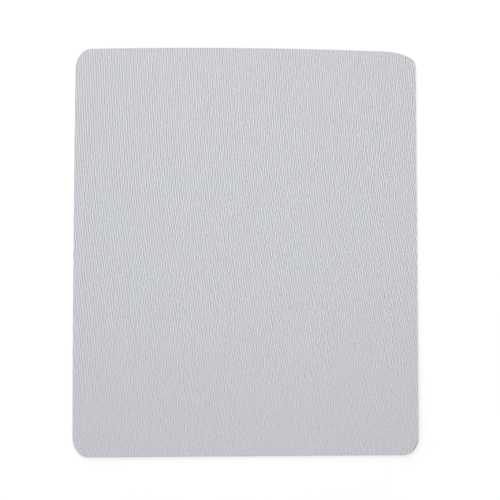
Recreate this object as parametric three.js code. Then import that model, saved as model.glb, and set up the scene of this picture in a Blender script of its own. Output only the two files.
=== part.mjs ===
// A flat mouse pad: cloth bonded to a sheet of sponge rubber, with a non-slip rubber skin underneath.
// Millimetres. +X is the user's right, +Y the far edge and +Z up, with the origin on the desk under the
// middle of the pad.

import * as THREE from 'three';

// Overall size, crowned edges included
const padWidth = 203.2;
const padDepth = 241.3;

// Thickness of the layers, from the desk up
const gripBaseThickness = 0.5;
const foamThickness = 1.8;
const filmThickness = 0.1;
const clothThickness = 0.6;

// Cut outline of the rubber: a corner has its reach along the front or back edge and its drop along the side,
// and the back and left edges are crowned
const leftReach = 8.9;
const leftDrop = 11.8;
const frontRightReach = 8.3;
const frontRightDrop = 10.3;
const backRightReach = 17.9;
const backRightDrop = 7.9;
const backCrown = 1.8;
const leftCrown = 0.4;

// Cloth: its right-hand corners drop this much further along the side, which bares slivers of rubber there,
// and its upper edge is rounded
const clothBackTrim = 0.9;
const clothFrontTrim = 1.7;
const clothEdgeRounding = 0.25;

// Fineness of the facets
const cornerSteps = 12;
const edgeSteps = 16;
const roundingSteps = 4;

// Heights where the layers meet
const foamBottom = gripBaseThickness;
const filmBottom = foamBottom + foamThickness;
const clothBottom = filmBottom + filmThickness;
const clothTop = clothBottom + clothThickness;

// Rectangle that the outline is drawn in before its edges swell
const leftSide = leftCrown - padWidth / 2;
const rightSide = padWidth / 2;
const frontSide = -padDepth / 2;
const backSide = padDepth / 2 - backCrown;

// Swells the back and left edges outwards, most at an edge's middle and not at all at its ends
function crown(point) {
  const across = (2 * point.x - leftSide - rightSide) / (rightSide - leftSide);
  const along = (2 * point.y - frontSide - backSide) / (backSide - frontSide);
  const leftSwell = leftCrown * (1 - along ** 2) * Math.max(-across, 0);
  const backSwell = backCrown * (1 - across ** 2) * Math.max(along, 0);
  return new THREE.Vector2(point.x - leftSwell, point.y + backSwell);
}

// Quarter ellipse round one corner; turn counts quarter turns from +X
function cornerArc(turn, reach, drop, inset) {
  const onRight = turn === 0 || turn === 3;
  const onBack = turn < 2;
  return new THREE.EllipseCurve(
    onRight ? rightSide - reach : leftSide + reach,
    onBack ? backSide - drop : frontSide + drop,
    reach - inset,
    drop - inset,
    (turn * Math.PI) / 2,
    ((turn + 1) * Math.PI) / 2,
  );
}

// Closed outline, counter-clockwise: the trims lengthen the right-hand corners, inset draws all of it in
function outline(backTrim, frontTrim, inset) {
  const arcs = [
    cornerArc(0, backRightReach, backRightDrop + backTrim, inset),
    cornerArc(1, leftReach, leftDrop, inset),
    cornerArc(2, leftReach, leftDrop, inset),
    cornerArc(3, frontRightReach, frontRightDrop + frontTrim, inset),
  ];
  const points = arcs.flatMap((arc, index) => {
    const next = arcs[(index + 1) % arcs.length];
    const edge = new THREE.LineCurve(arc.getPoint(1), next.getPoint(0));
    return [...arc.getPoints(cornerSteps), ...edge.getPoints(edgeSteps).slice(1, -1)];
  });
  return points.map(crown);
}

// Closed solid through level rings of equal length, lowest first, with flat caps
function loft(rings) {
  const count = rings[0].points.length;
  const positions = rings.flatMap(({ points, z }) => points.flatMap(({ x, y }) => [x, y, z]));
  const indices = [];
  for (let ring = 0; ring < rings.length - 1; ring += 1) {
    for (let step = 0; step < count; step += 1) {
      const low = ring * count + step;
      const lowNext = ring * count + ((step + 1) % count);
      indices.push(low, lowNext, lowNext + count, low, lowNext + count, low + count);
    }
  }
  const lastRing = (rings.length - 1) * count;
  THREE.ShapeUtils.triangulateShape(rings[0].points, []).forEach(([a, b, c]) => indices.push(c, b, a));
  THREE.ShapeUtils.triangulateShape(rings.at(-1).points, []).forEach((face) => {
    indices.push(...face.map((corner) => corner + lastRing));
  });
  const geometry = new THREE.BufferGeometry();
  geometry.setAttribute('position', new THREE.Float32BufferAttribute(positions, 3));
  geometry.setIndex(indices);
  geometry.computeVertexNormals();
  return geometry;
}

// Outline of the rubber layers
function rubberOutline() {
  return outline(0, 0, 0);
}

// Outline of the cloth and its film, drawn in by an inset
function clothOutline(inset) {
  return outline(clothBackTrim, clothFrontTrim, inset);
}

// Straight-sided solid between two heights
function flatLayer(points, bottom, top) {
  return loft([{ points, z: bottom }, { points, z: top }]);
}

// The cloth's solid, whose upper edge is a quarter round
function clothLayer() {
  const rounding = Math.min(clothEdgeRounding, clothThickness / 2);
  const rings = [{ points: clothOutline(0), z: clothBottom }];
  for (let step = 0; step <= roundingSteps; step += 1) {
    const angle = ((step / roundingSteps) * Math.PI) / 2;
    const inset = rounding * (1 - Math.cos(angle));
    const drop = rounding * (1 - Math.sin(angle));
    rings.push({ points: clothOutline(inset), z: clothTop - drop });
  }
  return loft(rings);
}

// Layer with its own matt material
function layer(name, geometry, color, roughness) {
  const material = new THREE.MeshStandardMaterial({ color, roughness, metalness: 0 });
  const mesh = new THREE.Mesh(geometry, material);
  mesh.name = name;
  return mesh;
}

// Non-slip skin that lies on the desk
function gripBase() {
  return layer('grip_base', flatLayer(rubberOutline(), 0, foamBottom), 0x242527, 0.75);
}

// Sponge rubber cushion
function foamCore() {
  return layer('foam_core', flatLayer(rubberOutline(), foamBottom, filmBottom), 0x303134, 0.9);
}

// Hot-melt film, cut with the cloth
function bondFilm() {
  return layer('bond_film', flatLayer(clothOutline(0), filmBottom, clothBottom), 0xd9d8d2, 0.6);
}

// Ribbed cloth that the mouse runs on
function topCloth() {
  return layer('top_cloth', clothLayer(), 0xcbccd2, 0.9);
}

const mousePad = new THREE.Group();
mousePad.add(gripBase(), foamCore(), bondFilm(), topCloth());

export default mousePad;
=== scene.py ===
"""Dresses a mouse pad: ribbed cloth, bonding film, sponge rubber and a studded grip skin, on a pale floor."""

import math

import bpy
import numpy as np
from bpy.props import FloatProperty, FloatVectorProperty, IntProperty, PointerProperty
from mathutils import Euler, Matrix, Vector
from mathutils.geometry import delaunay_2d_cdt


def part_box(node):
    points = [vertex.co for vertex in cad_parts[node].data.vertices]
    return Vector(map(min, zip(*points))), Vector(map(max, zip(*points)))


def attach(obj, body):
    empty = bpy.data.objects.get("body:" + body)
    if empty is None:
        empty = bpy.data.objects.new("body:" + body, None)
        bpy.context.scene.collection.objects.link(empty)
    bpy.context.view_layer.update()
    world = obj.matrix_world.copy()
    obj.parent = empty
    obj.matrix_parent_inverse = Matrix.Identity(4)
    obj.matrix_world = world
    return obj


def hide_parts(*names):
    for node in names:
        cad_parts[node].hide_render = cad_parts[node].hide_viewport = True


bl_info = {
    "name": "Mouse Pad",
    "version": (1, 0, 0),
    "blender": (4, 5, 0),
    "location": "3D View > Sidebar > Mouse Pad",
    "description": "Dresses the layers of a cloth mouse pad and lays it on a studio floor",
    "category": "Object",
}

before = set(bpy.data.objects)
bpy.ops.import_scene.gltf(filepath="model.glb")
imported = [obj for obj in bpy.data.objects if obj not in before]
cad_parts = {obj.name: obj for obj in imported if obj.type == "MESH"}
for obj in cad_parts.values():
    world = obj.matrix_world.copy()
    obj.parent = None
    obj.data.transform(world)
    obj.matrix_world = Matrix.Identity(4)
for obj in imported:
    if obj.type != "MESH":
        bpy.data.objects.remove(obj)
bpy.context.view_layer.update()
BODY = "root"

# Reach of the cloth, which its ribs are laid out on
CLOTH_LOW, CLOTH_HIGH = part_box("top_cloth")
CLOTH_WIDTH = CLOTH_HIGH.x - CLOTH_LOW.x
CLOTH_DEPTH = CLOTH_HIGH.y - CLOTH_LOW.y

# Points nearer than this count as one, in metres
SAME_PLACE = 1e-6

# Radians in a whole turn
TURN = 2 * math.pi

# Features in a metre of the noises that grain the surfaces
FUZZ = 9000
FRAYED_YARNS = 2500
FILM_CLOUDS = 900
SPONGE_GRAIN = 12000
SKIN_GRAIN = 7000
SKIN_SCUFFS = 250

# Fineness of the meshes, and how often a rib's line is corrected
LINES_PER_RIB = 4
ROUNDING_RINGS = 4
RIM_STEPS_PER_STUD = 4
LINE_CORRECTIONS = 8

# Rings on the cloth's cut wall, as shares of its height, and where its flat top starts, in edge roundings
WALL_RINGS = (0.1, 0.35)
FLAT_START = 1.2

# Yarn ends on the cut edge, painted pale as a highlight with painted shade between them: how far from its
# middle a tip starts to fall away, and where it has, in widths
TIP_MIDDLE = 0.2
TIP_RIM = 0.7

# Sponge cells: where the wall stops, and where the hollow is full, as shares of a cell in from its edge; the
# large and small hollows are where painted shade darkens the cells
CELL_WALL = 0.02
PRESSED_HOLLOW = 0.3
LARGE_HOLLOW = 0.2
SMALL_HOLLOW = 0.25

# Edges that bend more than these are shaded sharp
SHARP_EDGE = math.radians(50)
SHARP_STUD_EDGE = math.radians(20)

# Patches along each side of a lamp that its light is added up from
LAMP_PATCHES = 8


def length_setting(name, description, default):
    """A length in metres."""
    return FloatProperty(name=name, description=description, default=default, unit="LENGTH", precision=6)


def share_setting(name, description, default):
    """A share of one."""
    return FloatProperty(
        name=name,
        description=description,
        default=default,
        subtype="FACTOR",
        soft_min=0.0,
        soft_max=1.0,
        precision=3,
    )


def amount_setting(name, description, default):
    """A plain number."""
    return FloatProperty(name=name, description=description, default=default, precision=3)


def angle_setting(name, description, degrees):
    """An angle, given in degrees."""
    return FloatProperty(name=name, description=description, default=math.radians(degrees), subtype="ANGLE")


def colour_setting(name, description, default):
    """A linear colour."""
    return FloatVectorProperty(
        name=name,
        description=description,
        default=default,
        subtype="COLOR",
        min=0.0,
        max=1.0,
    )


def place_setting(name, description, default):
    """A point in metres."""
    return FloatVectorProperty(name=name, description=description, default=default, subtype="TRANSLATION")


class ClothSettings(bpy.types.PropertyGroup):
    """Sizes and colours of the ribbed cloth."""

    # Crest and groove colours: the grooves' darker colour is partly the cloth's own tone and partly painted
    # shade that falls in the grooves
    colour: colour_setting("Colour", "Crests of the ribs", (0.762, 0.772, 0.819))
    groove_shade_colour: colour_setting("Groove colour", "Bottoms of the grooves", (0.422, 0.429, 0.461))
    # Pale cut edge: a painted highlight where its loose fibres catch the light
    cut_edge_highlight_colour: colour_setting("Cut colour", "Yarn ends on the cut edge", (0.8, 0.807, 0.84))
    rib_pitch: length_setting("Rib pitch", "Distance from rib to rib at the middle of the pad", 0.001423)
    rib_lean: angle_setting("Rib lean", "Mean slant of the ribs, leftwards to the back", 7.89)
    straighter_back: share_setting("Straighter back", "Share of the slant lost from front to back", 0.536)
    sway: length_setting("Sway", "How far the ribs swing to each side along their length", 0.00084)
    sway_length: length_setting("Sway length", "Length of one swing to both sides", 0.168)
    finer_right: share_setting("Finer to the right", "Ribs gained from the left to the right edge", 0.05)
    finer_back: share_setting("Finer to the back", "Ribs gained from the front to the back edge", 0.075)
    warp_pitch: length_setting("Warp pitch", "Step across the cloth that staggers the ribs", 0.00081)
    stagger: share_setting("Stagger", "Strength of the opposite slant that breaks ribs into dashes", 0.36)
    uneven: amount_setting("Unevenness", "How much the ribs' height comes and goes", 5.2)
    wobble: share_setting("Wobble", "How far the ribs shift to the sides, in pitches", 0.63)
    flecks: amount_setting("Flecks", "How much the ribs rise and sink from stitch to stitch", 4.0)
    streaks: amount_setting("Streaks", "Height of stray thick and thin yarns between the ribs", 2.8)
    streaks_kept: share_setting("Streaks kept", "Height that no pressing takes from stray yarns", 0.15)
    patch_width: length_setting("Patch width", "Width of a patch of ribs that rise or shift alike", 0.0023)
    patch_length: length_setting("Patch length", "Length of such a patch", 0.003)
    fleck_length: length_setting("Fleck length", "Length of a raised or sunken stretch of rib", 0.0009)
    streak_width: length_setting("Streak width", "Width of a stray yarn", 0.0005)
    streak_length: length_setting("Streak length", "Length of a stray yarn", 0.00093)
    calmer_back: share_setting("Calmer to the back", "Share of the unrest lost from front to back", 0.48)
    calmer_left: share_setting("Calmer to the left", "Share of the unrest lost from right to left", 0.3)
    longer_back: share_setting("Longer to the back", "How much patches and yarns lengthen to the back", 0.2)
    longer_ends: share_setting("Longer at the ends", "How much they lengthen to the front and the back", 0.35)
    rib_height: length_setting("Rib height", "Depth of the grooves", 0.00014)
    pressed_front: share_setting("Pressed front", "Height that the ribs lose at the front edge", 0.62)
    front_length: length_setting("Front length", "How far flatter ribs reach from the front edge", 0.135)
    pressed_back: share_setting("Pressed back", "Height that the ribs lose at the back edge", 0.25)
    back_length: length_setting("Back length", "How far flatter ribs reach from the back edge", 0.07)
    row_step: length_setting("Row step", "Distance between mesh rows along the ribs", 0.0018)
    edge_rounding: length_setting("Edge rounding", "Radius of the upper edge", 0.00025)
    fray: length_setting("Fray", "Unevenness of the cut edge", 0.00006)
    filaments: IntProperty(name="Filaments", description="Fine filaments side by side in a stitch", default=3)
    filament_share: share_setting("Filament share", "Share of the weave that shows single filaments", 0.35)
    stitch_pitch: length_setting("Stitch pitch", "Length of a stitch along a rib", 0.00062)
    stitch_slant: share_setting("Stitch slant", "How far stitches run ahead on a crest, in stitches", 0.45)
    weave_contrast: share_setting("Weave contrast", "How much the stitches change the colour", 0.3)
    fuzz_contrast: share_setting("Fuzz contrast", "How much the fuzz changes the colour", 0.25)
    fuzz_relief: share_setting("Fuzz relief", "Share of the yarn relief that is fuzz", 0.25)
    yarn_depth: length_setting("Yarn depth", "Depth of the fine yarn relief", 0.00004)
    end_width: length_setting("End width", "Width of a yarn end on the cut edge", 0.00016)
    end_onset: share_setting("End onset", "Share of cut face from which yarn ends show", 0.375)
    # Painted shade in the gaps between the yarn ends
    gap_shade: share_setting("Gap shade", "Brightness that is left between yarn ends", 0.75)


class RubberSettings(bpy.types.PropertyGroup):
    """Sizes and colours of the film, the sponge and the grip skin."""

    film_colour: colour_setting("Film colour", "Milky hot-melt film", (0.69, 0.68, 0.64))
    cloud_shade: share_setting("Cloud shade", "Brightness that is left in the film's clouds", 0.85)
    sponge_colour: colour_setting("Sponge colour", "Cell walls of the sponge rubber", (0.045, 0.046, 0.05))
    # Painted shade in the hollows of the sponge's cells
    cell_hollow_shade_colour: colour_setting("Cell colour", "Hollows of the sponge's cells", (0.016, 0.0165, 0.018))
    cell_size: length_setting("Cell size", "Width of a cell on the cut wall", 0.00026)
    cell_depth: length_setting("Cell depth", "Depth of an open cell", 0.00007)
    ragged_cells: share_setting("Ragged cells", "How much a cell's edge wavers", 0.1)
    small_cell: share_setting("Small cell", "Width of a small cell against a large one", 0.37)
    small_cell_share: share_setting("Small cell share", "How much small cells show in large ones", 0.3)
    draw_in: length_setting("Draw in", "How far the cut wall is hollowed at mid height", 0.00018)
    wall_step: length_setting("Wall step", "Mesh step on the sponge's cut wall", 0.00014)
    grip_colour: colour_setting("Grip colour", "Moulded rubber skin", (0.02, 0.0205, 0.022))
    grain_depth: length_setting("Grain depth", "Depth of the skin's moulded grain", 0.00002)
    dust_colour: colour_setting("Dust colour", "Scuffed tops of the studs", (0.052, 0.052, 0.053))
    dust: amount_setting("Dust", "Strength of the scuffs", 1.3)
    dust_reach: share_setting("Dust reach", "Share of a stud's depth that is scuffed", 0.6)
    stud_pitch: length_setting("Stud pitch", "Distance between studs", 0.0032)
    stud_share: share_setting("Stud share", "Width of a stud in its cell", 0.74)
    stud_draft: share_setting("Stud draft", "Width of a stud's foot against its root", 0.82)
    stud_depth: length_setting("Stud depth", "How far the studs stand out of the skin", 0.00022)
    stud_border: length_setting("Stud border", "Plain band along the edge", 0.0012)
    skin_rounding: length_setting("Skin rounding", "Radius of the skin's lower edge", 0.00008)


class StageSettings(bpy.types.PropertyGroup):
    """Camera, lamps and floor."""

    camera_place: place_setting("Camera place", "Where the camera hangs", (-0.02507, -0.02764, 0.59292))
    camera_tilt_x: angle_setting("Camera tilt X", "Turn of the camera about X", 2.678)
    camera_tilt_y: angle_setting("Camera tilt Y", "Turn of the camera about Y", -2.623)
    camera_lens: FloatProperty(name="Lens", description="Focal length in mm", default=72.0, unit="CAMERA")
    top_place: place_setting("Top lamp place", "Middle of the soft lamp overhead", (0.008, 0.056, 0.702))
    top_size: length_setting("Top lamp size", "Side of the lamp overhead", 0.2)
    top_share: share_setting("Top lamp share", "Share of the pad's light that comes from overhead", 0.497)
    back_place: place_setting("Back lamp place", "Middle of the lamp at the back", (-0.159, 0.579, 0.678))
    back_size: length_setting("Back lamp size", "Side of the lamp at the back", 0.654)
    back_share: share_setting("Back lamp share", "Share of the pad's light that comes from the back", 0.155)
    sky_share: share_setting("Sky share", "Share of the pad's light that comes from all round", 0.348)
    sky_slant: FloatVectorProperty(
        name="Sky slant",
        description="How much brighter the sky is towards each axis",
        default=(-0.71, -0.593, 0.0),
        subtype="DIRECTION",
    )
    floor_colour: colour_setting("Floor colour", "Pale floor", (0.927, 0.927, 0.927))
    floor_lift: share_setting("Floor lift", "Light added to the floor where it is seen directly", 0.166)
    lit_radius: length_setting("Lit radius", "Where the floor's own light starts to take over", 0.15)
    white_radius: length_setting("White radius", "Where the floor's own light has taken over", 0.4)
    floor_size: length_setting("Floor size", "Side of the floor", 6.0)


class Value:
    """A node's output whose arithmetic adds Math nodes to its tree."""

    def __init__(self, nodes, socket):
        self.nodes = nodes
        self.socket = socket

    def beside(self, output):
        """Another output of the same node."""
        return Value(self.nodes, self.nodes.find(self.socket.node.outputs, output))

    def __add__(self, other):
        return self.nodes.maths("ADD", self, other)

    def __radd__(self, other):
        return self.nodes.maths("ADD", other, self)

    def __sub__(self, other):
        return self.nodes.maths("SUBTRACT", self, other)

    def __rsub__(self, other):
        return self.nodes.maths("SUBTRACT", other, self)

    def __mul__(self, other):
        return self.nodes.maths("MULTIPLY", self, other)

    def __rmul__(self, other):
        return self.nodes.maths("MULTIPLY", other, self)

    def __truediv__(self, other):
        return self.nodes.maths("DIVIDE", self, other)

    def __rtruediv__(self, other):
        return self.nodes.maths("DIVIDE", other, self)


class Nodes:
    """Adds nodes to one shader or geometry tree."""

    def __init__(self, tree):
        self.tree = tree

    @staticmethod
    def find(sockets, key):
        """The socket with that number, identifier or name."""
        if isinstance(key, int):
            return sockets[key]
        return next(s for s in sockets if key == s.identifier or (key == s.name and s.enabled))

    def add(self, kind, settings=None, sockets=None, output=0):
        """Adds a node with its settings and then its sockets' values or links, and gives one output."""
        node = self.tree.nodes.new(kind)
        for name, value in (settings or {}).items():
            setattr(node, name, value)
        for key, value in (sockets or {}).items():
            socket = self.find(node.inputs, key)
            if isinstance(value, Value):
                self.tree.links.new(value.socket, socket)
            else:
                socket.default_value = value
        return Value(self, self.find(node.outputs, output)) if len(node.outputs) else None

    def maths(self, operation, *values):
        """A Math node on values and numbers."""
        return self.add("ShaderNodeMath", {"operation": operation}, dict(enumerate(values)))

    def limited(self, value):
        """A value held between 0 and 1."""
        return self.add("ShaderNodeClamp", None, {"Value": value})

    def smooth(self, value, low, high):
        """0 below low, 1 above high, and a smooth rise between them."""
        sockets = {"Value": value, "From Min": low, "From Max": high}
        return self.add("ShaderNodeMapRange", {"interpolation_type": "SMOOTHSTEP"}, sockets)

    def blend(self, share, colour, other):
        """A colour that goes over to another as share goes from 0 to 1."""
        sockets = {"Factor_Float": share, "A_Color": colour, "B_Color": other}
        return self.add("ShaderNodeMix", {"data_type": "RGBA"}, sockets, "Result_Color")

    def noise(self, place, scale, detail=2.0, seed=0.0):
        """Noise from 0 to 1, with about scale features a metre."""
        settings = {"noise_dimensions": "4D"}
        sockets = {"Vector": place, "W": seed, "Scale": scale, "Detail": detail}
        return self.add("ShaderNodeTexNoise", settings, sockets, "Fac")

    def axes(self, place):
        """The X, Y and Z of a point."""
        x = self.add("ShaderNodeSeparateXYZ", None, {"Vector": place})
        return x, x.beside("Y"), x.beside("Z")

    def mark(self, name, kind="FLOAT"):
        """A mesh's named numbers, in a geometry tree."""
        return self.add("GeometryNodeInputNamedAttribute", {"data_type": kind}, {"Name": name}, "Attribute")

    def outwards(self, distance):
        """A step of that length along the surface's normal, in a geometry tree."""
        sockets = {"Vector": self.add("GeometryNodeInputNormal"), "Scale": distance}
        return self.add("ShaderNodeVectorMath", {"operation": "SCALE"}, sockets)

    def moved(self, geometry, offset):
        """A mesh with its points moved, in a geometry tree."""
        return self.add("GeometryNodeSetPosition", None, {"Geometry": geometry, "Offset": offset})


def rgba(colour, shade=1.0):
    """A colour setting, darkened to a shade, as a socket's four numbers."""
    return (*(part * shade for part in colour), 1.0)


def swing(value, width):
    """A value from 0 to 1 turned into one of that width about 0."""
    return (value - 0.5) * width


def cosine(turns):
    """Cosine of an angle in whole turns, on numbers or on node values."""
    angle = turns * TURN
    return angle.nodes.maths("COSINE", angle) if isinstance(angle, Value) else np.cos(angle)


def sine(turns):
    """Sine of an angle in whole turns, on numbers or on node values."""
    return cosine(turns - 0.25)


def rib_turns(x, y, cloth):
    """Whole turns of the ribs' main wave at a point: slanted, swaying, finer to the right and the back."""
    finer = x * (cloth.finer_right / 2 / CLOTH_WIDTH) + y * (cloth.finer_back / CLOTH_DEPTH) + 1
    lean = (1 - y * (cloth.straighter_back / 2 / CLOTH_DEPTH)) * math.tan(cloth.rib_lean)
    sway = sine(y * (1 / cloth.sway_length)) * cloth.sway
    return (x * finer + y * lean + sway) * (1 / cloth.rib_pitch)


def rib_height(nodes, place, cloth):
    """Height of the cloth, 0 in a groove and 1 on a crest: two waves of opposite slant and stray yarns."""
    x, y, _ = nodes.axes(place)
    # From -1 at the front edge to 1 at the back, and likewise from left to right
    end = y * (2 / CLOTH_DEPTH)
    side = x * (2 / CLOTH_WIDTH)
    # A run along the pad whose slope, 1 at mid length, is less where patches and yarns are longer
    run = y * (1 - end * (cloth.longer_back / 2) - end * end * (cloth.longer_ends / 3))
    calm = 1 - end * (cloth.calmer_back / 2) + side * (cloth.calmer_left / 2)

    def unrest(width, length, seed):
        """Noise about 0 in patches of that width and length."""
        sockets = {"X": x * (1 / width), "Y": run * (1 / length)}
        spot = nodes.add("ShaderNodeCombineXYZ", None, sockets)
        return swing(nodes.noise(spot, 1.0, detail=1.0, seed=seed), calm)

    shift = unrest(cloth.patch_width, cloth.patch_length, seed=3.0) * cloth.wobble
    turns = rib_turns(x, y, cloth) + shift
    counter_turns = x * (1 / cloth.warp_pitch) - turns
    waves = cosine(turns) + cosine(counter_turns) * cloth.stagger
    flecks = unrest(cloth.patch_width, cloth.fleck_length, seed=5.0) * cloth.flecks
    swell = unrest(cloth.patch_width, cloth.patch_length, seed=1.0) * cloth.uneven + flecks + 1
    streaks = unrest(cloth.streak_width, cloth.streak_length, seed=2.0) * cloth.streaks
    front = nodes.smooth(y, CLOTH_LOW.y, CLOTH_LOW.y + cloth.front_length)
    back = nodes.smooth(y, CLOTH_HIGH.y - cloth.back_length, CLOTH_HIGH.y)
    full = (1 - (1 - front) * cloth.pressed_front) * (1 - back * cloth.pressed_back)
    streaks_full = full * (1 - cloth.streaks_kept) + cloth.streaks_kept
    height = waves * swell * full + streaks * streaks_full
    return nodes.limited(height * (0.5 / (1 + cloth.stagger)) + 0.5)


def cut_outline(node, step):
    """A layer's cut outline as points a step apart, counter-clockwise, read from its CAD solid."""
    corners = np.array([vertex.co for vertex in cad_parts[node].data.vertices])
    level = corners[corners[:, 2] < corners[:, 2].min() + SAME_PLACE]
    ring = np.unique((level[:, :2] / SAME_PLACE).round(), axis=0) * SAME_PLACE
    ring = ring[np.argsort(np.arctan2(ring[:, 1], ring[:, 0]))]
    closed = np.vstack([ring, ring[:1]])
    run = np.concatenate([[0], np.cumsum(np.linalg.norm(np.diff(closed, axis=0), axis=1))])
    places = np.linspace(0, run[-1], round(run[-1] / step), endpoint=False)
    return np.column_stack([np.interp(places, run, closed[:, axis]) for axis in (0, 1)])


def outward(ring):
    """Unit normals of a counter-clockwise ring."""
    along = np.roll(ring, -1, axis=0) - np.roll(ring, 1, axis=0)
    normals = np.column_stack([along[:, 1], -along[:, 0]])
    return normals / np.linalg.norm(normals, axis=1, keepdims=True)


def swept(ring, profile):
    """Points of a ring drawn in and set at each (inset, height) of a profile."""
    normals = outward(ring)
    levels = [np.column_stack([ring - normals * inset, np.full(len(ring), z)]) for inset, z in profile]
    return np.vstack(levels)


def bands(count, rings):
    """Faces between rings of equal count that follow each other, facing out where the rings climb."""
    here = np.arange(count)
    ahead = np.roll(here, -1)
    quads = np.column_stack([here, ahead, ahead + count, here + count])
    return np.vstack([quads + ring * count for ring in range(rings - 1)]).tolist()


def inside(points, ring):
    """Which points lie within a convex ring."""
    start = ring[:, 1].argmin()
    loop = np.roll(ring, -start, axis=0)
    peak = loop[:, 1].argmax()
    right = loop[: peak + 1]
    left = np.vstack([loop[peak:], loop[:1]])[::-1]
    x, y = points[:, 0], points[:, 1]
    return (
        (y > loop[0, 1])
        & (y < loop[peak, 1])
        & (x > np.interp(y, left[:, 1], left[:, 0]))
        & (x < np.interp(y, right[:, 1], right[:, 0]))
    )


def filled(ring, inner, hole=None):
    """Triangles over a ring's inside that use the inner points; hole is a loop of inner points left open."""
    points = [Vector(point) for point in np.vstack([ring, inner])]
    loops = [list(range(len(ring)))]
    if hole is not None:
        loops.append([len(ring) + corner for corner in hole])
    only_inside = 1
    made, _, triangles, _, _, sources = delaunay_2d_cdt(points, [], loops, only_inside, SAME_PLACE / 10)
    if len(made) != len(points):
        raise RuntimeError("the flat fill merged or added points")
    return [triangle for triangle, source in zip(triangles, sources) if source == [0]]


def new_piece(name, points, faces, marks=None):
    """A mesh object; marks name lists of values, each with its domain and kind."""
    mesh = bpy.data.meshes.new(name)
    mesh.from_pydata(points, [], faces)
    for mark, (domain, kind, values) in (marks or {}).items():
        mesh.attributes.new(mark, kind, domain).data.foreach_set("value", values)
    piece = bpy.data.objects.new(name, mesh)
    bpy.context.scene.collection.objects.link(piece)
    return piece


def node_group(name, inputs):
    """A Geometry Nodes tree with a geometry input and named number inputs, and its nodes and input values."""
    tree = bpy.data.node_groups.new(name, "GeometryNodeTree")
    tree.interface.new_socket("Geometry", in_out="INPUT", socket_type="NodeSocketGeometry")
    tree.interface.new_socket("Geometry", in_out="OUTPUT", socket_type="NodeSocketGeometry")
    for title in inputs:
        tree.interface.new_socket(title, in_out="INPUT", socket_type="NodeSocketFloat")
    nodes = Nodes(tree)
    return tree, nodes, nodes.add("NodeGroupInput")


def close_group(nodes, geometry, material):
    """Ends a Geometry Nodes tree in Realize Instances and Set Material."""
    real = nodes.add("GeometryNodeRealizeInstances", None, {"Geometry": geometry})
    coated = nodes.add("GeometryNodeSetMaterial", None, {"Geometry": real, "Material": material})
    nodes.add("NodeGroupOutput", None, {"Geometry": coated})


def run_group(piece, tree, values, sharp_angle):
    """Runs a Geometry Nodes tree on a piece and keeps its result as the piece's plain mesh."""
    modifier = piece.modifiers.new(tree.name, "NODES")
    modifier.node_group = tree
    for item in tree.interface.items_tree:
        if item.in_out == "INPUT" and item.name in values:
            modifier[item.identifier] = values[item.name]
    depsgraph = bpy.context.evaluated_depsgraph_get()
    evaluated = piece.evaluated_get(depsgraph)
    mesh = bpy.data.meshes.new_from_object(evaluated, preserve_all_data_layers=True, depsgraph=depsgraph)
    piece.modifiers.remove(modifier)
    plain, piece.data = piece.data, mesh
    bpy.data.meshes.remove(plain)
    mesh.name = piece.name
    mesh.shade_smooth()
    mesh.set_sharp_from_angle(angle=sharp_angle)


def new_finish(name):
    """An empty material, its nodes and the point that they colour."""
    material = bpy.data.materials.new(name)
    material.use_nodes = True
    material.node_tree.nodes.clear()
    nodes = Nodes(material.node_tree)
    return material, nodes, nodes.add("ShaderNodeTexCoord", output="Object")


def close_finish(nodes, sockets):
    """Feeds a Principled shader and joins it to the output."""
    shader = nodes.add("ShaderNodeBsdfPrincipled", None, sockets)
    nodes.add("ShaderNodeOutputMaterial", None, {"Surface": shader})


def bumped(nodes, height, depth, strength=1.0):
    """A normal bent by a height from 0 to 1 that stands for a depth in metres."""
    return nodes.add("ShaderNodeBump", None, {"Height": height, "Distance": depth, "Strength": strength})


def dress(piece, node):
    """Puts a finished piece in a CAD node's place."""
    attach(piece, BODY)
    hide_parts(node)


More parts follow.
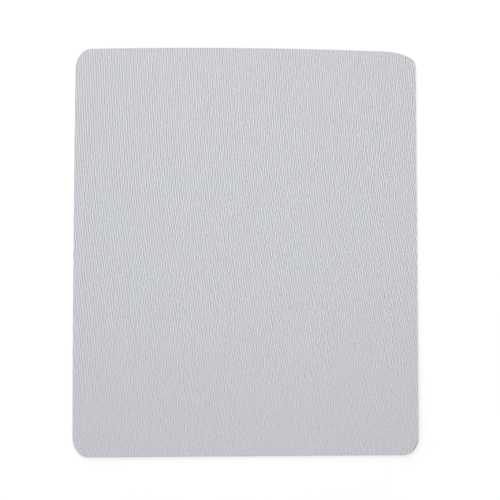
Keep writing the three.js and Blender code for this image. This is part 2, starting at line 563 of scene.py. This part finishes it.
def cloth_finish(cloth):
    """Matt grey cloth: pale crests and darker grooves, the grooves' darkness partly the cloth's own tone and
    partly painted shade, slanted stitches, and yarn ends on the cut edge painted pale as a highlight, with
    painted shade between them.
    """
    material, nodes, place = new_finish("ribbed_cloth")
    x, y, _ = nodes.axes(place)
    stitches = y * (1 / cloth.stitch_pitch) + cosine(rib_turns(x, y, cloth)) * cloth.stitch_slant
    filaments = cosine(stitches * cloth.filaments) * cloth.filament_share
    weave = (cosine(stitches) * (1 - cloth.filament_share) + filaments) * 0.5 + 0.5
    fuzz = nodes.noise(place, FUZZ, detail=3.0)
    yarns = swing(weave, cloth.weave_contrast) + swing(fuzz, cloth.fuzz_contrast)
    crest = nodes.limited(rib_height(nodes, place, cloth) + yarns)
    # Grooves painted darker than crests: partly the cloth's own tone, partly painted shade that falls in the
    # grooves
    ribs = nodes.blend(crest, rgba(cloth.groove_shade_colour), rgba(cloth.colour))
    cut = nodes.add("ShaderNodeAttribute", {"attribute_name": "cut"}, output="Fac")
    # Where the cut edge shows its yarn ends: painted pale as a highlight where loose fibres catch the light,
    # with painted shade in the gaps between them
    ends = nodes.limited((cut - cloth.end_onset) / (1 - cloth.end_onset) + swing(fuzz, cut))
    sockets = {"Vector": place, "Scale": 1 / cloth.end_width}
    from_middle = nodes.add("ShaderNodeTexVoronoi", None, sockets, "Distance")
    tip = 1 - nodes.smooth(from_middle, TIP_MIDDLE, TIP_RIM)
    painted_cut_edge_light = nodes.blend(tip, rgba(cloth.cut_edge_highlight_colour, cloth.gap_shade), rgba(cloth.cut_edge_highlight_colour))
    smooth_yarn = weave * (1 - ends) + tip * ends
    relief = smooth_yarn * (1 - cloth.fuzz_relief) + fuzz * cloth.fuzz_relief
    close_finish(
        nodes,
        {
            "Base Color": nodes.blend(ends, ribs, painted_cut_edge_light),
            "Roughness": 0.86 + swing(fuzz, 0.16),
            "Specular IOR Level": 0.2,
            "Sheen Weight": 0.08,
            "Sheen Roughness": 0.5,
            "Normal": bumped(nodes, relief, cloth.yarn_depth),
        },
    )
    return material


def film_finish(rubber):
    """Milky hot-melt film with faint clouds."""
    material, nodes, place = new_finish("hot_melt")
    clear = nodes.noise(place, FILM_CLOUDS, detail=3.0)
    cloud_colour = rgba(rubber.film_colour, rubber.cloud_shade)
    close_finish(
        nodes,
        {
            "Base Color": nodes.blend(clear, cloud_colour, rgba(rubber.film_colour)),
            "Roughness": 0.5 + clear * 0.25,
        },
    )
    return material


def sponge_cells(nodes, place, size):
    """Distance from a cell's edge, as a share of the cell size."""
    settings = {"feature": "DISTANCE_TO_EDGE"}
    return nodes.add("ShaderNodeTexVoronoi", settings, {"Vector": place, "Scale": 1 / size}, "Distance")


def sponge_finish(rubber):
    """Dark sponge rubber: cut-open cells with their hollows painted darker as shade, so the walls stand
    paler, and finer cells within them.
    """
    material, nodes, place = new_finish("sponge_rubber")
    grain = nodes.noise(place, SPONGE_GRAIN)
    large_cells = sponge_cells(nodes, place, rubber.cell_size) + swing(grain, rubber.ragged_cells)
    small_cells = sponge_cells(nodes, place, rubber.cell_size * rubber.small_cell)
    # Cell hollows are painted darker than the walls as painted shade
    large = nodes.smooth(large_cells, CELL_WALL, LARGE_HOLLOW)
    small = nodes.smooth(small_cells, CELL_WALL, SMALL_HOLLOW)
    wall = 1 - (large * (1 - rubber.small_cell_share) + small * rubber.small_cell_share)
    relief = wall * 0.8 + grain * 0.2
    close_finish(
        nodes,
        {
            "Base Color": nodes.blend(wall, rgba(rubber.cell_hollow_shade_colour), rgba(rubber.sponge_colour)),
            "Roughness": 0.95 - wall * 0.12,
            "Specular IOR Level": 0.3,
            "Normal": bumped(nodes, relief, rubber.cell_depth / 2, strength=0.7),
        },
    )
    return material


def grip_finish(rubber):
    """Near-black moulded rubber, scuffed grey on the studs' feet."""
    material, nodes, place = new_finish("grip_rubber")
    grain = nodes.noise(place, SKIN_GRAIN, detail=3.0)
    scuffs = nodes.noise(place, SKIN_SCUFFS, detail=4.0, seed=3.0)
    height = nodes.axes(place)[2]
    foot = 1 - nodes.smooth(height, 0.0, rubber.stud_depth * rubber.dust_reach)
    dust = nodes.limited(foot * scuffs * rubber.dust + swing(grain, 0.2))
    close_finish(
        nodes,
        {
            "Base Color": nodes.blend(dust, rgba(rubber.grip_colour), rgba(rubber.dust_colour)),
            "Roughness": 0.58 + dust * 0.25 + swing(grain, 0.2),
            "Specular IOR Level": 0.4,
            "Normal": bumped(nodes, grain, rubber.grain_depth, strength=0.5),
        },
    )
    return material


def rib_group(cloth, material):
    """Presses the grooves between the ribs into the flat cloth, and frays its cut edge."""
    tree, nodes, given = node_group("Cloth ribs", ("Rib height", "Edge rounding", "Fray"))
    place = nodes.add("GeometryNodeInputPosition")
    z = nodes.axes(place)[2]
    rise = nodes.smooth(z, CLOTH_HIGH.z - given.beside("Edge rounding"), CLOTH_HIGH.z)
    drop = (rib_height(nodes, place, cloth) - 1) * rise * given.beside("Rib height")
    pressed_in = nodes.add("ShaderNodeCombineXYZ", None, {"Z": drop})
    torn = swing(nodes.noise(place, FRAYED_YARNS, seed=4.0), 2.0) * nodes.mark("cut")
    frayed = nodes.outwards(torn * given.beside("Fray"))
    offset = nodes.add("ShaderNodeVectorMath", {"operation": "ADD"}, {0: pressed_in, 1: frayed})
    close_group(nodes, nodes.moved(given.beside("Geometry"), offset), material)
    return tree


def sponge_group(material):
    """Hollows the sponge's open cells into its cut wall."""
    tree, nodes, given = node_group("Sponge cells", ("Cell size", "Cell depth"))
    place = nodes.add("GeometryNodeInputPosition")
    cells = sponge_cells(nodes, place, given.beside("Cell size"))
    hollow = nodes.smooth(cells, CELL_WALL, PRESSED_HOLLOW)
    depth = hollow * nodes.mark("wall") * given.beside("Cell depth")
    close_group(nodes, nodes.moved(given.beside("Geometry"), nodes.outwards(depth * -1)), material)
    return tree


def stud_group(material):
    """Presses a tapered stud out of every marked cell of the grip skin."""
    tree, nodes, given = node_group("Grip studs", ("Stud share", "Stud draft", "Stud depth"))
    cells = nodes.mark("stud", "BOOLEAN")
    root = nodes.add(
        "GeometryNodeExtrudeMesh",
        {"mode": "FACES"},
        {"Mesh": given.beside("Geometry"), "Selection": cells, "Offset Scale": 0.0, "Individual": True},
    )
    drawn_in = nodes.add(
        "GeometryNodeScaleElements",
        None,
        {"Geometry": root, "Selection": root.beside("Top"), "Scale": given.beside("Stud share")},
    )
    down = nodes.add("ShaderNodeCombineXYZ", None, {"Z": given.beside("Stud depth") * -1})
    foot = nodes.add(
        "GeometryNodeExtrudeMesh",
        {"mode": "FACES"},
        {"Mesh": drawn_in, "Selection": root.beside("Top"), "Offset": down, "Individual": True},
    )
    tapered = nodes.add(
        "GeometryNodeScaleElements",
        None,
        {"Geometry": foot, "Selection": foot.beside("Top"), "Scale": given.beside("Stud draft")},
    )
    close_group(nodes, tapered, material)
    return tree


def rib_points(ring, cloth):
    """Points of the cloth's top inside a ring, in rows, on lines that follow crests, flanks and grooves."""
    low, high = ring.min(axis=0), ring.max(axis=0)
    corner_x, corner_y = np.meshgrid((low[0], high[0]), (low[1], high[1]))
    turns = rib_turns(corner_x, corner_y, cloth)
    first, last = math.floor(turns.min()), math.ceil(turns.max())
    lines = np.arange(first * LINES_PER_RIB, last * LINES_PER_RIB + 1) / LINES_PER_RIB
    rows = np.arange(low[1], high[1], cloth.row_step) + cloth.row_step / 2
    line, y = np.meshgrid(lines, rows)
    x = line * cloth.rib_pitch
    for _ in range(LINE_CORRECTIONS):
        x -= (rib_turns(x, y, cloth) - line) * cloth.rib_pitch
    points = np.column_stack([x.ravel(), y.ravel()])
    return points[inside(points, ring)]


def cloth_rings(cloth):
    """Inset, height and share of cut face of the rings from the cloth's lower edge up to its flat top."""
    bottom, top = CLOTH_LOW.z, CLOTH_HIGH.z
    rings = [(0.0, bottom, 0.0)]
    rings += [(0.0, bottom + share * (top - bottom), 1.0) for share in WALL_RINGS]
    for angle in np.linspace(0, math.pi / 2, ROUNDING_RINGS):
        inset = cloth.edge_rounding * (1 - math.cos(angle))
        drop = cloth.edge_rounding * (1 - math.sin(angle))
        rings.append((inset, top - drop, math.cos(angle)))
    rings.append((cloth.edge_rounding * FLAT_START, top, 0.0))
    return np.array(rings)


class MOUSEPAD_OT_cloth(bpy.types.Operator):
    """Makes the ribbed cloth that the mouse runs on"""

    bl_idname = "mousepad.cloth"
    bl_label = "Ribbed Cloth"

    def execute(self, context):
        cloth = context.scene.pad_cloth
        line_step = cloth.rib_pitch / LINES_PER_RIB
        ring = cut_outline("top_cloth", line_step)
        rings = cloth_rings(cloth)
        rim = swept(ring, rings[:, :2])
        count = len(ring)
        last_ring = rim[-count:, :2]
        inner = rib_points(last_ring - outward(last_ring) * line_step, cloth)
        bottom = list(range(count))[::-1]
        top = np.array(filled(last_ring, inner)) + len(rim) - count
        faces = [bottom, *bands(count, len(rings)), *top.tolist()]
        points = np.vstack([rim, np.column_stack([inner, np.full(len(inner), CLOTH_HIGH.z)])])
        cut = np.concatenate([np.repeat(rings[:, 2], count), np.zeros(len(inner))])
        piece = new_piece("ribbed_cloth", points, faces, {"cut": ("POINT", "FLOAT", cut)})
        sizes = {"Rib height": cloth.rib_height, "Edge rounding": cloth.edge_rounding, "Fray": cloth.fray}
        run_group(piece, rib_group(cloth, cloth_finish(cloth)), sizes, SHARP_EDGE)
        dress(piece, "top_cloth")
        return {"FINISHED"}


class MOUSEPAD_OT_film(bpy.types.Operator):
    """Gives the bonding film its milky finish"""

    bl_idname = "mousepad.film"
    bl_label = "Bonding Film"

    def execute(self, context):
        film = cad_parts["bond_film"]
        film.data.materials.clear()
        film.data.materials.append(film_finish(context.scene.pad_rubber))
        return {"FINISHED"}


class MOUSEPAD_OT_sponge(bpy.types.Operator):
    """Makes the sponge rubber cushion with its hollowed, open-celled cut wall"""

    bl_idname = "mousepad.sponge"
    bl_label = "Sponge Cushion"

    def execute(self, context):
        rubber = context.scene.pad_rubber
        low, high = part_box("foam_core")
        ring = cut_outline("foam_core", rubber.wall_step)
        levels = round((high.z - low.z) / rubber.wall_step)
        heights = np.linspace(0, 1, levels + 1)
        insets = rubber.draw_in * (1 - (2 * heights - 1) ** 2)
        points = swept(ring, zip(insets, low.z + heights * (high.z - low.z)))
        count = len(ring)
        bottom = list(range(count))[::-1]
        top = list(range(len(points) - count, len(points)))
        faces = [bottom, *bands(count, len(heights)), top]
        wall = np.repeat((heights > 0) & (heights < 1), count).astype(float)
        piece = new_piece("sponge_cushion", points, faces, {"wall": ("POINT", "FLOAT", wall)})
        sizes = {"Cell size": rubber.cell_size, "Cell depth": rubber.cell_depth}
        run_group(piece, sponge_group(sponge_finish(rubber)), sizes, SHARP_EDGE)
        dress(piece, "foam_core")
        return {"FINISHED"}


def honeycomb(ring, pitch):
    """Six-sided cells that fit inside a ring: their shared corners, and each cell's corner numbers."""
    sides = 6
    radius = pitch / math.sqrt(3)
    row_step = radius * 1.5
    corner_turns = np.arange(sides) / sides + 1 / (2 * sides)
    corners = radius * np.column_stack([cosine(corner_turns), sine(corner_turns)])
    low, high = ring.min(axis=0), ring.max(axis=0)
    rows = np.arange(low[1], high[1], row_step)
    columns = np.arange(low[0], high[0], pitch)
    middle_x, middle_y = np.meshgrid(columns, rows)
    middle_x = middle_x + (np.arange(len(rows)) % 2)[:, None] * pitch / 2
    middles = np.column_stack([middle_x.ravel(), middle_y.ravel()])
    cells = middles[:, None, :] + corners[None, :, :]
    whole = inside(cells.reshape(-1, 2), ring).reshape(-1, sides).all(axis=1)
    keys = (cells[whole].reshape(-1, 2) / SAME_PLACE).round()
    shared, numbers = np.unique(keys, axis=0, return_inverse=True)
    return shared * SAME_PLACE, numbers.reshape(-1, sides)


def outer_loop(cells):
    """Corner numbers round the outside of joined cells, in order."""
    steps = {}
    for cell in cells.tolist():
        steps.update({(a, b): None for a, b in zip(cell, cell[1:] + cell[:1])})
    ahead = {a: b for a, b in steps if (b, a) not in steps}
    loop = [next(iter(ahead))]
    while ahead[loop[-1]] != loop[0]:
        loop.append(ahead[loop[-1]])
    return loop


class MOUSEPAD_OT_grip(bpy.types.Operator):
    """Makes the grip skin with its moulded studs"""

    bl_idname = "mousepad.grip"
    bl_label = "Grip Skin"

    def execute(self, context):
        rubber = context.scene.pad_rubber
        low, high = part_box("grip_base")
        web = low.z + rubber.stud_depth
        ring = cut_outline("grip_base", rubber.stud_pitch / RIM_STEPS_PER_STUD)
        rounding = rubber.skin_rounding
        profile = [(rounding, web), (0.0, web + rounding), (0.0, high.z)]
        rim = swept(ring, profile)
        count = len(ring)
        first_ring = rim[:count, :2]
        inner_ring = first_ring - outward(first_ring) * rubber.stud_border
        corners, cells = honeycomb(inner_ring, rubber.stud_pitch)
        loop = outer_loop(cells)
        border = filled(first_ring, corners[loop], hole=range(len(loop)))
        numbers = np.concatenate([np.arange(count), len(rim) + np.array(loop)])
        below = [numbers[list(triangle)].tolist()[::-1] for triangle in border]
        below_cells = (cells[:, ::-1] + len(rim)).tolist()
        top = list(range(len(rim) - count, len(rim)))
        faces = [*bands(count, len(profile)), top, *below, *below_cells]
        points = np.vstack([rim, np.column_stack([corners, np.full(len(corners), web)])])
        stud = np.arange(len(faces)) >= len(faces) - len(below_cells)
        piece = new_piece("grip_skin", points, faces, {"stud": ("FACE", "BOOLEAN", stud)})
        sizes = {
            "Stud share": rubber.stud_share,
            "Stud draft": rubber.stud_draft,
            "Stud depth": rubber.stud_depth,
        }
        run_group(piece, stud_group(grip_finish(rubber)), sizes, SHARP_STUD_EDGE)
        dress(piece, "grip_base")
        return {"FINISHED"}


def seen_directly(nodes):
    """1 for rays from the camera, a mirror or a pane, and 0 for light that bounces off matt surfaces."""
    camera = nodes.add("ShaderNodeLightPath", output="Is Camera Ray")
    return nodes.limited(camera + camera.beside("Is Glossy Ray") + camera.beside("Is Transmission Ray"))


def floor_finish(stage):
    """Pale matt floor that is seen as white, also past the lamps, and still takes the pad's shadow."""
    material, nodes, place = new_finish("studio_floor")
    matt = nodes.add("ShaderNodeBsdfDiffuse", None, {"Color": rgba(stage.floor_colour)})
    reach = nodes.add("ShaderNodeVectorMath", {"operation": "LENGTH"}, {0: place}, "Value")
    far = nodes.smooth(reach, stage.lit_radius, stage.white_radius)
    lift = stage.floor_lift + far * (1 - stage.floor_lift)
    glow = nodes.add("ShaderNodeEmission", None, {"Color": lift})
    shown = nodes.add("ShaderNodeMixShader", None, {0: seen_directly(nodes), 2: glow})
    both = nodes.add("ShaderNodeAddShader", None, {0: matt, 1: shown})
    nodes.add("ShaderNodeOutputMaterial", None, {"Surface": both})
    return material


def sky(stage):
    """A white surround, brighter towards one side, and plain white where it is seen directly."""
    world = bpy.data.worlds.new("studio_sky")
    world.use_nodes = True
    world.node_tree.nodes.clear()
    nodes = Nodes(world.node_tree)
    aim = nodes.add("ShaderNodeTexCoord", output="Generated")
    sockets = {0: aim, 1: stage.sky_slant}
    slant = nodes.add("ShaderNodeVectorMath", {"operation": "DOT_PRODUCT"}, sockets, "Value")
    light = nodes.maths("MAXIMUM", (slant + 1) * stage.sky_share, 0.0)
    seen = seen_directly(nodes)
    strength = light * (1 - seen) + seen
    glow = nodes.add("ShaderNodeBackground", None, {"Color": (1, 1, 1, 1), "Strength": strength})
    nodes.add("ShaderNodeOutputWorld", None, {"Surface": glow})
    return world


def soft_lamp(name, place, size, share):
    """A square lamp aimed at the middle of the pad, which gives it a share of its light."""
    middle = Vector(place)
    turn = (-middle).to_track_quat("-Z", "Y")
    steps = (np.arange(LAMP_PATCHES) + 0.5) / LAMP_PATCHES - 0.5
    patches = [middle + turn @ Vector((u * size, v * size, 0.0)) for u in steps for v in steps]
    # Mean over the lamp of both cosines divided by the squared distance
    reach = np.mean([patch.z * patch.dot(middle) / patch.length**4 for patch in patches]) / middle.length
    lamp = bpy.data.lights.new(name, "AREA")
    lamp.size = size
    lamp.energy = share * math.pi**2 / reach
    holder = bpy.data.objects.new(name, lamp)
    holder.location = middle
    holder.rotation_euler = turn.to_euler()
    holder.visible_camera = False
    bpy.context.scene.collection.objects.link(holder)


class MOUSEPAD_OT_stage(bpy.types.Operator):
    """Sets up the camera, the lamps and the pale floor"""

    bl_idname = "mousepad.stage"
    bl_label = "Studio Stage"

    def execute(self, context):
        scene = context.scene
        stage = scene.pad_stage
        scene.view_settings.view_transform = "Standard"
        scene.world = sky(stage)
        half = stage.floor_size / 2
        corners = [(-half, -half, 0), (half, -half, 0), (half, half, 0), (-half, half, 0)]
        floor = new_piece("studio_floor", corners, [(0, 1, 2, 3)])
        floor.data.materials.append(floor_finish(stage))
        soft_lamp("top_lamp", stage.top_place, stage.top_size, stage.top_share)
        soft_lamp("back_lamp", stage.back_place, stage.back_size, stage.back_share)
        lens = bpy.data.cameras.new("camera")
        lens.lens = stage.camera_lens
        camera = bpy.data.objects.new("camera", lens)
        camera.location = stage.camera_place
        camera.rotation_euler = Euler((stage.camera_tilt_x, stage.camera_tilt_y, 0.0))
        scene.collection.objects.link(camera)
        scene.camera = camera
        return {"FINISHED"}


class MOUSEPAD_PT_panel(bpy.types.Panel):
    """Lists the pad's layers and the stage"""

    bl_idname = "MOUSEPAD_PT_panel"
    bl_label = "Mouse Pad"
    bl_space_type = "VIEW_3D"
    bl_region_type = "UI"
    bl_category = "Mouse Pad"

    def draw(self, context):
        for operator in OPERATORS:
            self.layout.operator(operator.bl_idname)
        for group in SETTINGS:
            settings = getattr(context.scene, group)
            box = self.layout.box()
            for name in settings.__annotations__:
                box.prop(settings, name)


SETTINGS = {"pad_cloth": ClothSettings, "pad_rubber": RubberSettings, "pad_stage": StageSettings}
OPERATORS = (
    MOUSEPAD_OT_stage,
    MOUSEPAD_OT_grip,
    MOUSEPAD_OT_sponge,
    MOUSEPAD_OT_film,
    MOUSEPAD_OT_cloth,
)
CLASSES = (*SETTINGS.values(), *OPERATORS, MOUSEPAD_PT_panel)


def register():
    for kind in CLASSES:
        bpy.utils.register_class(kind)
    for name, kind in SETTINGS.items():
        setattr(bpy.types.Scene, name, PointerProperty(type=kind))


def unregister():
    for name in SETTINGS:
        delattr(bpy.types.Scene, name)
    for kind in reversed(CLASSES):
        bpy.utils.unregister_class(kind)


def main():
    register()
    bpy.ops.mousepad.stage()
    bpy.ops.mousepad.grip()
    bpy.ops.mousepad.sponge()
    bpy.ops.mousepad.film()
    bpy.ops.mousepad.cloth()


if __name__ == "__main__":
    main()
